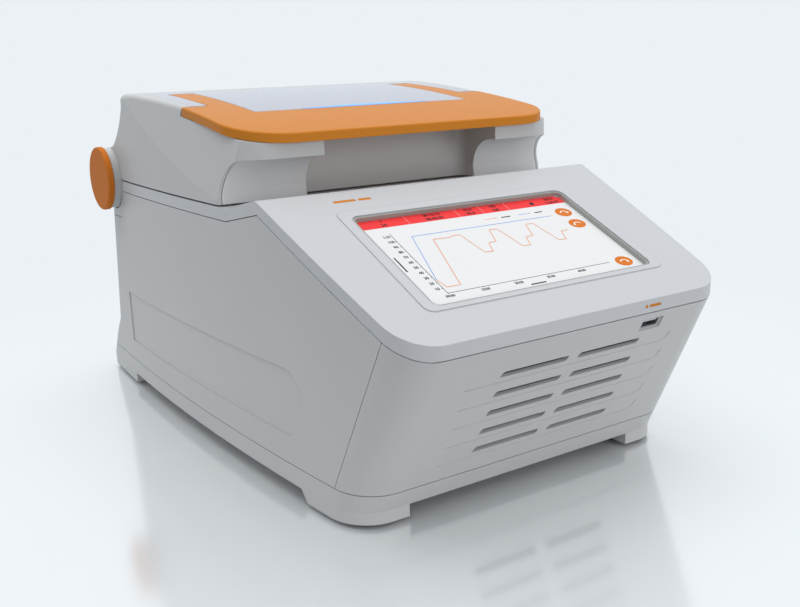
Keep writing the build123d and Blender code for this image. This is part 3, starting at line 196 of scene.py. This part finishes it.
def board_material(name, colour, copper):
    """Circuit board: solder mask over a maze of tracks, with bare pads."""
    g = Graph(name)
    tracks = g.nodes.new("ShaderNodeTexBrick")
    tracks.inputs["Scale"].default_value = TRACK_SCALE
    tracks.inputs["Color1"].default_value = (*colour, 1.0)
    tracks.inputs["Color2"].default_value = (*shade(colour, 1.5), 1.0)
    tracks.inputs["Mortar"].default_value = (*copper, 1.0)
    tracks.inputs["Mortar Size"].default_value = TRACK_GAP
    g.links.new(g.place, tracks.inputs["Vector"])
    g.drive("Base Color", tracks.outputs["Color"])
    g.drive("Roughness", g.spread(g.noise(3 * MM), 0.3, 0.45))
    g.bump(tracks.outputs["Fac"], TRACK_RELIEF * MM)
    return g.material


def lit(name, colour, glow):
    """A part of the display: it glows by itself and has next to no highlight."""
    g = Graph(name)
    cloud = g.noise(30 * MM)
    picture = g.mix(cloud, shade(colour, 0.985), shade(colour, 1.01))
    g.drive("Base Color", picture)
    g.drive("Emission Color", picture)
    low, high = GLASS_ROUGH - ROUGH_SPREAD, GLASS_ROUGH + ROUGH_SPREAD
    g.drive("Roughness", g.spread(g.noise(8 * MM), low, high))
    g.set(Emission_Strength=glow, Specular_IOR_Level=0.02)
    return g.material


GREY = (0.545, 0.546, 0.546)
WHITE = (0.552, 0.560, 0.580)
ORANGE = (0.62, 0.222, 0.028)
DEEP_ORANGE = (0.62, 0.180, 0.025)
PALE_BLUE = (0.385, 0.40, 0.485)

materials = {
    "panel_grey": moulded("panel_grey", GREY, 0.42, 0.55, 0.02, 0.02),
    "front_grey": moulded("front_grey", GREY, 0.40, 0.55, 0.02, 0.02),
    "cover_white": moulded("cover_white", WHITE, 0.38, 0.5, 0.01, 0.012, 0.6),
    "lid_grey": moulded("lid_grey", shade(GREY, 0.99), 0.40, 0.5, 0.012, 0.015, 0.6),
    # Painted light: the pads' grey is 1.25 times lighter than the rest, standing in for the front
    # light that the lid's lip keeps off them.
    "pad_grey_painted_light": moulded("pad_grey_painted_light", shade(GREY, 1.25), 0.45, 0.5, 0.012, 0.015),
    "orange": moulded("orange", ORANGE, 0.34, 1.4, 0.002, 0.02, Specular_IOR_Level=0.05),
    "hinge_orange": moulded(
        "hinge_orange", DEEP_ORANGE, 0.42, 0.7, 0.008, 0.04, Specular_IOR_Level=0.03
    ),
    "pale_panel": moulded("pale_panel", PALE_BLUE, 0.16, 1.0, 0.002, 0.02, Coat_Weight=0.15),
    "blue_light": moulded(
        "blue_light", (0.10, 0.34, 0.80), 0.22, 0.8, 0.002, 0.08, 0.3,
        Emission_Color=(0.10, 0.36, 0.88, 1.0), Emission_Strength=0.35,
    ),
    "screen_glass": lit("screen_glass", (0.70, 0.705, 0.71), 0.12),
    "screen_module": lit("screen_module", (0.5, 0.5, 0.52), 0.02),
    "bezel_grey": moulded("bezel_grey", (0.35, 0.37, 0.35), 0.5, 0.5, 0.02, 0.04),
    "black_plastic": moulded("black_plastic", (0.018, 0.018, 0.02), 0.45, 0.5, 0.03, 0.2),
    "rubber_black": moulded("rubber_black", (0.012, 0.012, 0.013), 0.75, 0.7, 0.06, 0.25),
    "silicone": moulded("silicone", (0.27, 0.045, 0.02), 0.6, 0.6, 0.02, 0.08),
    "steel": metal("steel", (0.50, 0.51, 0.53), 0.33, (1.0, 0.08, 1.0)),
    "aluminium": metal("aluminium", (0.66, 0.67, 0.69), 0.30, (0.1, 1.0, 1.0)),
    "ceramic": moulded("ceramic", (0.78, 0.78, 0.75), 0.55, 0.4, 0.01, 0.03),
    "foam": moulded("foam", (0.55, 0.47, 0.27), 0.9, 1.2, 0.25, 0.12),
    "board": board_material("board", (0.012, 0.075, 0.028), (0.30, 0.17, 0.05)),
}
# CAD nodes whose material isn't the one named by their slot.
OWN_FINISH = {
    "front_panel": "front_grey",
    "lid_cover": "lid_grey",
    # The grip pads get the lightened grey, which is painted light.
    "left_grip_pad": "pad_grey_painted_light",
    "right_grip_pad": "pad_grey_painted_light",
    "hinge_barrel": "lid_grey",
    "hinge_collars": "lid_grey",
    "usb_tongue": "cover_white",
}


def dress_cad_nodes():
    """Give every CAD node its material."""
    for part in frame["record"]["subparts"]:
        node = cad_nodes[part["node"]]
        finish = OWN_FINISH.get(part["node"], part["material_slot"])
        node.data.materials.clear()
        node.data.materials.append(materials[finish])


# ---------------------------------------------------------------- mesh building
SAME_WAY = 0.97             # least cosine between a flat face's normal and the way asked for
CORNER_STEPS = 6            # segments in a round corner
SHARPEST_MITRE = 0.35       # keeps a ribbon's sharp corners from growing spikes
DIGIT_SHARE = 0.7           # a digit's height over its font size
DIGIT_WEIGHT = 0.035        # how far a digit's outline is thickened, over its height
DIGIT_STEPS = 3             # segments in a curve of a digit


def facing(node, way):
    """A frame on a CAD node's flat face that looks along way: X level, Z out of the face."""
    mesh = cad_nodes[node].data
    way = Vector(way).normalized()
    faces = [p for p in mesh.polygons if p.normal.dot(way) > SAME_WAY]
    out = sum((p.normal * p.area for p in faces), Vector()).normalized()
    corners = [mesh.vertices[i].co for p in faces for i in p.vertices]
    top = max(c.dot(out) for c in corners)
    low = Vector([min(c[i] for c in corners) for i in range(3)])
    high = Vector([max(c[i] for c in corners) for i in range(3)])
    middle = (low + high) / 2
    middle += out * (top - middle.dot(out))
    level = Vector((1.0, 0.0, 0.0))
    turn = Matrix((level, out.cross(level), out)).transposed()
    return Matrix.Translation(middle) @ turn.to_4x4()


def ellipse(width, height, at, corners=40):
    """Outline of an ellipse."""
    turns = [2 * math.pi * i / corners for i in range(corners)]
    return [(at[0] + width / 2 * math.cos(t), at[1] + height / 2 * math.sin(t)) for t in turns]


def rounded(width, height, radius, at):
    """Outline of a rectangle with round corners."""
    points = []
    for quarter, (x, y) in enumerate(((1, 1), (-1, 1), (-1, -1), (1, -1))):
        for i in range(CORNER_STEPS + 1):
            t = math.pi / 2 * (quarter + i / CORNER_STEPS)
            px = at[0] + x * (width / 2 - radius) + radius * math.cos(t)
            points.append((px, at[1] + y * (height / 2 - radius) + radius * math.sin(t)))
    return points


class Piece:
    """A mesh that grows from prisms, ribbons and numbers, in millimetres on a local frame."""

    def __init__(self, name, base):
        self.name = name
        self.base = base
        self.mesh = bmesh.new()

    def prism(self, outline, low, high):
        """A flat-topped prism over a closed outline."""
        bottom = [self.mesh.verts.new((x, y, low)) for x, y in outline]
        top = [self.mesh.verts.new((x, y, high)) for x, y in outline]
        self.mesh.faces.new(list(reversed(bottom)))
        self.mesh.faces.new(top)
        for i, vertex in enumerate(bottom):
            after = (i + 1) % len(bottom)
            self.mesh.faces.new((vertex, bottom[after], top[after], top[i]))

    def ribbon(self, points, width, low, high):
        """A flat band of even width along a run of points, mitred at its corners."""
        left, right = [], []
        for i, point in enumerate(points):
            here = Vector(point)
            before = (here - Vector(points[i - 1])).normalized() if i else None
            after = (Vector(points[i + 1]) - here).normalized() if i + 1 < len(points) else None
            way = ((before or after) + (after or before)).normalized()
            normal = Vector((-way.y, way.x))
            edge = Vector((-(after or before).y, (after or before).x))
            reach = width / 2 / max(SHARPEST_MITRE, normal.dot(edge))
            left.append(tuple(here + normal * reach))
            right.append(tuple(here - normal * reach))
        self.prism(right + left[::-1], low, high)

    def number(self, words, height, at, low, high):
        """Digits, centred on a point."""
        curve = bpy.data.curves.new(self.name, "FONT")
        curve.body = words
        curve.size = height / DIGIT_SHARE
        curve.align_x, curve.align_y = "CENTER", "CENTER"
        curve.extrude = (high - low) / 2
        curve.offset = DIGIT_WEIGHT * height
        curve.resolution_u = DIGIT_STEPS
        holder = bpy.data.objects.new(self.name, curve)
        bpy.context.scene.collection.objects.link(holder)
        final = holder.evaluated_get(bpy.context.evaluated_depsgraph_get())
        mesh = bpy.data.meshes.new_from_object(final)
        mesh.transform(Matrix.Translation((at[0], at[1], (low + high) / 2)))
        self.mesh.from_mesh(mesh)
        bpy.data.objects.remove(holder)
        bpy.data.curves.remove(curve)
        bpy.data.meshes.remove(mesh)

    def done(self, finish, body):
        """Make the object, give it its material and let it ride on a body."""
        self.mesh.transform(self.base @ Matrix.Scale(MM, 4))
        bmesh.ops.recalc_face_normals(self.mesh, faces=self.mesh.faces)
        data = bpy.data.meshes.new(self.name)
        self.mesh.to_mesh(data)
        self.mesh.free()
        data.materials.append(materials[finish])
        piece = bpy.data.objects.new(self.name, data)
        bpy.context.scene.collection.objects.link(piece)
        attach(piece, body)
        return piece


# ---------------------------------------------------------------- screen picture
materials["header_red"] = lit("header_red", (0.82, 0.055, 0.058), 0.06)
materials["header_line"] = lit("header_line", (0.95, 0.35, 0.35), 0.1)
materials["ink"] = lit("ink", (0.03, 0.03, 0.035), 0.0)
materials["curve_blue"] = lit("curve_blue", (0.10, 0.27, 0.66), 0.1)
materials["curve_orange"] = lit("curve_orange", (0.78, 0.26, 0.07), 0.1)
materials["button_orange"] = lit("button_orange", (0.66, 0.185, 0.030), 0.05)
materials["icon_white"] = lit("icon_white", (0.85, 0.80, 0.74), 0.1)

SCREEN_WAY = (0.0, -0.4, 0.9)   # roughly the way the screen faces
# Places and sizes on the screen, in mm from its middle.
HEADER_LOW, HEADER_HIGH = 34.2, 42.9
UPPER_VALUES, LOWER_VALUES = 40.5, 36.4
PLOT_LEFT, PLOT_RIGHT, PLOT_LOW, PLOT_HIGH = -61.3, 55.5, -32.0, 27.4
ZERO_DROP = 0.5             # how far 0 degrees lies below the time axis
DEGREE = 0.519              # height of one degree in the plot
TEN_MINUTES = 23.2          # length of ten minutes on the time axis
KEY_HEIGHT = 28.0           # height of the plot's colour key
AXIS_WIDTH, TICK_WIDTH, KEY_WIDTH, CURVE_WIDTH = 0.32, 0.25, 0.35, 0.4
TICK_GAP = 0.1              # from an axis to its ticks
WORD_HEIGHT = 0.9           # height of the bars that stand for words
FIRST_CYCLE, CYCLE_LENGTH = 41.8, 28.0    # along the time axis
BUTTON_PLACES = ((66.7, 23.8), (66.7, 10.2), (66.5, -33.2))
LAYER = 0.06                # thickness of one printed layer of the picture
CYCLES = 3                  # cycles in the plot


def plot_y(degrees):
    """Height of a temperature in the plot."""
    return PLOT_LOW - ZERO_DROP + DEGREE * degrees


def make_screen():
    """The display's picture: header, plot of block and lid temperature, three buttons."""
    base = facing("touch_glass", SCREEN_WAY)
    low, high, top = 0.0, LAYER, 2 * LAYER

    header = Piece("screen_header", base)
    right = [(76.8, HEADER_LOW), (76.8, 40.0), (73.2, HEADER_HIGH)]
    left = [(-73.2, HEADER_HIGH), (-77.0, 40.0)]
    band = [(-77.0, HEADER_LOW), *right, *left]
    header.prism(band, low, high)
    header.done("header_red", "housing")

    lines = Piece("screen_header_lines", base)
    for x in (-42.7, -6.4, 11.7, 31.4):
        lines.ribbon([(x, HEADER_LOW), (x, HEADER_HIGH)], 0.3, high, top)
    lines.done("header_line", "housing")

    words = Piece("screen_header_values", base)
    fields = (
        ("1", "24", -59.3),
        ("00:15:12", "00:42:50", -24.0),
        ("55.0", "95.0", 2.7),
        ("105", "100", 21.7),
    )
    for upper, lower, x in fields:
        words.number(upper, 2.5, (x, UPPER_VALUES), high, top)
        words.number(lower, 2.5, (x, LOWER_VALUES), high, top)
    words.number("08:24", 2.3, (67.0, 39.9), high, top)
    words.number("12:30:45", 2.3, (67.0, 36.2), high, top)
    words.prism(rounded(2.6, 3.4, 1.0, (51.4, 37.6)), high, top)
    words.done("ink", "housing")

    axes = Piece("screen_axes", base)
    axes.ribbon([(PLOT_LEFT, PLOT_HIGH), (PLOT_LEFT, PLOT_LOW)], AXIS_WIDTH, low, high)
    axes.ribbon([(PLOT_LEFT, PLOT_LOW), (PLOT_RIGHT, PLOT_LOW)], AXIS_WIDTH, low, high)
    for degrees in range(10, 120, 10):
        y = plot_y(degrees)
        axes.ribbon([(PLOT_LEFT - 0.9, y), (PLOT_LEFT - TICK_GAP, y)], TICK_WIDTH, low, high)
        axes.number(str(degrees), 2.1, (PLOT_LEFT - 3.6, y), low, high)
    for i in range(5):
        x = PLOT_LEFT + TEN_MINUTES * i
        axes.ribbon([(x, PLOT_LOW - 1.0), (x, PLOT_LOW - TICK_GAP)], TICK_WIDTH, low, high)
        axes.number(f"{10 * i:02d}:00", 1.9, (x, PLOT_LOW - 2.6), low, high)
    axes.prism(rounded(11.0, WORD_HEIGHT, 0.4, (-3.5, -38.0)), low, high)
    axes.prism(rounded(WORD_HEIGHT, 14.0, 0.4, (-72.0, -2.0)), low, high)
    axes.done("ink", "housing")

    lid_curve = Piece("screen_curve_lid", base)
    warming = [(-60.3, plot_y(25)), (-49.5, plot_y(105)), (54.9, plot_y(105))]
    lid_curve.ribbon(warming, CURVE_WIDTH, low, high)
    lid_curve.ribbon([(32.9, KEY_HEIGHT), (43.0, KEY_HEIGHT)], KEY_WIDTH, low, high)
    lid_curve.done("curve_blue", "housing")

    # Distance along the time axis, and degrees.
    program = [(1.0, 25), (3.0, 10.5), (11.8, 10.5), (22.8, 94), (34.0, 93), (37.0, 95.5)]
    program += [(FIRST_CYCLE, 95)]
    cycle = [(4.0, 57), (9.7, 56), (12.5, 72), (18.2, 73), (22.0, 96), (27.6, 95)]
    for turn in range(CYCLES):
        start = FIRST_CYCLE + CYCLE_LENGTH * turn
        program += [(start + time, degrees) for time, degrees in cycle]
    program = [(PLOT_LEFT + time, plot_y(degrees)) for time, degrees in program[:-2]]
    block_curve = Piece("screen_curve_block", base)
    block_curve.ribbon(program, CURVE_WIDTH, high, top)
    block_curve.ribbon([(6.7, KEY_HEIGHT), (16.8, KEY_HEIGHT)], KEY_WIDTH, low, high)
    block_curve.done("curve_orange", "housing")

    legend = Piece("screen_legend", base)
    for x, length in ((23.0, 7.0), (49.0, 6.0)):
        legend.prism(rounded(length, WORD_HEIGHT, 0.4, (x, 27.8)), low, high)
    legend.done("ink", "housing")

    buttons = Piece("screen_buttons", base)
    for place in BUTTON_PLACES:
        buttons.prism(ellipse(12.2, 9.6, place), low, high)
    buttons.done("button_orange", "housing")

    icons = Piece("screen_icons", base)
    for (x, y), sign in zip(BUTTON_PLACES, (1, -1, 1)):
        arc = [math.radians(90 * sign * t / 4) for t in range(-4, 5)]
        hook = [(x + 2.6 * math.sin(t), y - 0.4 + 1.7 * math.cos(t)) for t in arc]
        icons.ribbon(hook, 0.7, high, top)
        tip_x, tip_y = hook[-1]
        arrow = [(tip_x - 1.2, tip_y), (tip_x + 1.2, tip_y), (tip_x, tip_y - 1.5)]
        icons.prism(arrow, high, top)
    icons.done("icon_white", "housing")


# Millimetres.
GLASS_DEPTH = 3.0           # from the console's face down to the touch glass
MARK_LOW, MARK_HIGH = -0.02, 0.06
CONSOLE_MARK_Y = 61.5       # up the console from the middle of the screen
FASCIA_MIDDLE_Z = 108.6     # height of the middle of the strip under the console
PORT_MARK_SHIFT = 3.0       # from the port's middle to the left


def make_console_marks():
    """Generic orange marks: two bars on the console, and a dot and bar over the port."""
    glass = facing("touch_glass", SCREEN_WAY)
    marks = Piece("console_marks", glass @ Matrix.Translation((0, 0, GLASS_DEPTH * MM)))
    for x, length in ((-72.0, 15.0), (-58.5, 9.0)):
        marks.prism(rounded(length, 2.2, 1.0, (x, CONSOLE_MARK_Y)), MARK_LOW, MARK_HIGH)
    marks.done("orange", "housing")

    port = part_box("usb_shell")
    port_middle = (port[0].x + port[1].x) / 2
    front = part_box("top_cover")[0].y
    middle = Vector((port_middle - PORT_MARK_SHIFT * MM, front, FASCIA_MIDDLE_Z * MM))
    to_front = Matrix(((1, 0, 0), (0, 0, 1), (0, -1, 0))).transposed()
    mark = Piece("port_mark", Matrix.Translation(middle) @ to_front.to_4x4())
    mark.prism(ellipse(2.0, 2.0, (-5.4, 0.0), 16), MARK_LOW, MARK_HIGH)
    mark.prism(rounded(9.0, 1.5, 0.7, (1.4, 0.0)), MARK_LOW, MARK_HIGH)
    mark.done("orange", "housing")


# ---------------------------------------------------------------- vents
# Millimetres.
MESH_WIDTH, MESH_HEIGHT = 110, 64
MESH_PITCH = 1.5
MESH_WIRE = 0.55
MESH_DEPTH = 0.5            # from the CAD sheet's front face to the middle of the wires


def make_vent_mesh():
    """Woven dust mesh behind the front slots, in place of the CAD's plain sheet."""
    base = facing("vent_mesh", (0.0, -0.9, -0.45))
    columns, rows = int(MESH_WIDTH / MESH_PITCH), int(MESH_HEIGHT / MESH_PITCH)
    mesh = Piece("vent_mesh_woven", base @ Matrix.Translation((0, 0, -MESH_DEPTH * MM)))
    grid = bmesh.ops.create_grid(mesh.mesh, x_segments=columns, y_segments=rows, size=0.5)
    for vertex in grid["verts"]:
        vertex.co.x *= columns * MESH_PITCH
        vertex.co.y *= rows * MESH_PITCH
    piece = mesh.done("black_plastic", "housing")
    wires = piece.modifiers.new("wires", "WIREFRAME")
    wires.thickness = MESH_WIRE * MM
    wires.use_even_offset = False
    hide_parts("vent_mesh")


# ---------------------------------------------------------------- stage
# Distances are in metres, power is in watts.
BACKGROUND = (0.831, 0.880, 0.913)
SKY = (0.955, 0.975, 1.0)
SKY_LOW, SKY_HIGH = 0.22, 1.0       # strength just under the horizon, and overhead
SKY_LOW_Z = -0.1                    # upward part of the direction where the sky is weakest
FLOOR_RADIUS = 30.0
FLOOR_DARK, FLOOR_LIGHT = (0.86, 0.89, 0.91), (0.88, 0.91, 0.93)
FLOOR_ROUGH = 0.4
FADE_START, FADE_END = 0.20, 0.62   # distances over which the floor turns into backdrop
FAR_FLOOR_LIGHT = 0.4               # how much the far floor lights the scene
MIRROR_SHARE = 0.42                 # part of the near floor's look that is mirror
MIRROR = (0.96, 0.97, 0.97)
MIRROR_ROUGH = 0.13
LIGHT_AIM = (0.0, 0.0, 0.1)
LIGHT_POWER = 12.0


def seen_directly(nodes, links):
    """1 for rays from the camera and from mirrors, 0 for the rays that light the scene."""
    path = nodes.new("ShaderNodeLightPath")
    either = nodes.new("ShaderNodeMath")
    either.operation = "MAXIMUM"
    links.new(path.outputs["Is Camera Ray"], either.inputs[0])
    links.new(path.outputs["Is Glossy Ray"], either.inputs[1])
    return either.outputs["Value"]


def make_floor():
    """Pale mirror-like floor that fades into the background far away."""
    g = Graph("floor")
    g.set(Roughness=FLOOR_ROUGH)
    cloud = g.noise(0.4)
    g.drive("Base Color", g.mix(cloud, FLOOR_DARK, FLOOR_LIGHT))
    far = g.nodes.new("ShaderNodeEmission")
    far.inputs["Color"].default_value = (*BACKGROUND, 1.0)
    strength = g.nodes.new("ShaderNodeMapRange")
    strength.inputs["To Min"].default_value = FAR_FLOOR_LIGHT
    g.links.new(seen_directly(g.nodes, g.links), strength.inputs["Value"])
    g.links.new(strength.outputs["Result"], far.inputs["Strength"])
    mirror = g.nodes.new("ShaderNodeBsdfGlossy")
    mirror.inputs["Color"].default_value = (*MIRROR, 1.0)
    mirror.inputs["Roughness"].default_value = MIRROR_ROUGH
    near = g.nodes.new("ShaderNodeMixShader")
    near.inputs["Fac"].default_value = MIRROR_SHARE
    g.links.new(g.shader.outputs["BSDF"], near.inputs[1])
    g.links.new(mirror.outputs["BSDF"], near.inputs[2])
    distance = g.nodes.new("ShaderNodeVectorMath")
    distance.operation = "LENGTH"
    g.links.new(g.place, distance.inputs[0])
    fade = g.nodes.new("ShaderNodeMapRange")
    fade.interpolation_type = "SMOOTHSTEP"
    fade.inputs["From Min"].default_value = FADE_START
    fade.inputs["From Max"].default_value = FADE_END
    g.links.new(distance.outputs["Value"], fade.inputs["Value"])
    blend = g.nodes.new("ShaderNodeMixShader")
    g.links.new(fade.outputs["Result"], blend.inputs["Fac"])
    g.links.new(near.outputs["Shader"], blend.inputs[1])
    g.links.new(far.outputs["Emission"], blend.inputs[2])
    g.links.new(blend.outputs["Shader"], g.nodes["Material Output"].inputs["Surface"])
    sheet = bmesh.new()
    bmesh.ops.create_circle(sheet, cap_ends=True, segments=96, radius=FLOOR_RADIUS)
    data = bpy.data.meshes.new("floor")
    sheet.to_mesh(data)
    sheet.free()
    data.materials.append(g.material)
    floor = bpy.data.objects.new("floor", data)
    bpy.context.scene.collection.objects.link(floor)


def make_world():
    """Pale backdrop for the camera and mirrors; a soft sky, brightest overhead, gives light."""
    world = bpy.data.worlds.new("world")
    world.use_nodes = True
    nodes, links = world.node_tree.nodes, world.node_tree.links
    sky = nodes["Background"]
    place = nodes.new("ShaderNodeTexCoord")
    parts = nodes.new("ShaderNodeSeparateXYZ")
    links.new(place.outputs["Generated"], parts.inputs["Vector"])
    height = nodes.new("ShaderNodeMapRange")
    height.inputs["From Min"].default_value = SKY_LOW_Z
    height.inputs["To Min"].default_value = SKY_LOW
    height.inputs["To Max"].default_value = SKY_HIGH
    links.new(parts.outputs["Z"], height.inputs["Value"])
    sky.inputs["Color"].default_value = (*SKY, 1.0)
    links.new(height.outputs["Result"], sky.inputs["Strength"])
    seen = nodes.new("ShaderNodeBackground")
    seen.inputs["Color"].default_value = (*BACKGROUND, 1.0)
    pick = nodes.new("ShaderNodeMixShader")
    links.new(seen_directly(nodes, links), pick.inputs["Fac"])
    links.new(sky.outputs["Background"], pick.inputs[1])
    links.new(seen.outputs["Background"], pick.inputs[2])
    links.new(pick.outputs["Shader"], nodes["World Output"].inputs["Surface"])
    bpy.context.scene.world = world


def make_light(name, place, size):
    """A square softbox, size metres wide, that no mirror shows."""
    data = bpy.data.lights.new(name, "AREA")
    data.shape = "SQUARE"
    data.size = size
    data.energy = LIGHT_POWER
    light = bpy.data.objects.new(name, data)
    light.location = place
    light.rotation_mode = "QUATERNION"
    light.rotation_quaternion = (Vector(LIGHT_AIM) - Vector(place)).to_track_quat("-Z", "Y")
    light.visible_glossy = False
    bpy.context.scene.collection.objects.link(light)


make_camera()
dress_cad_nodes()
make_screen()
make_console_marks()
make_vent_mesh()
make_floor()
make_world()
make_light("overhead", (-0.1, 0.2, 1.6), 1.6)
make_light("front", (0.6, -1.9, 0.25), 1.2)
bpy.context.scene.view_settings.view_transform = "Standard"
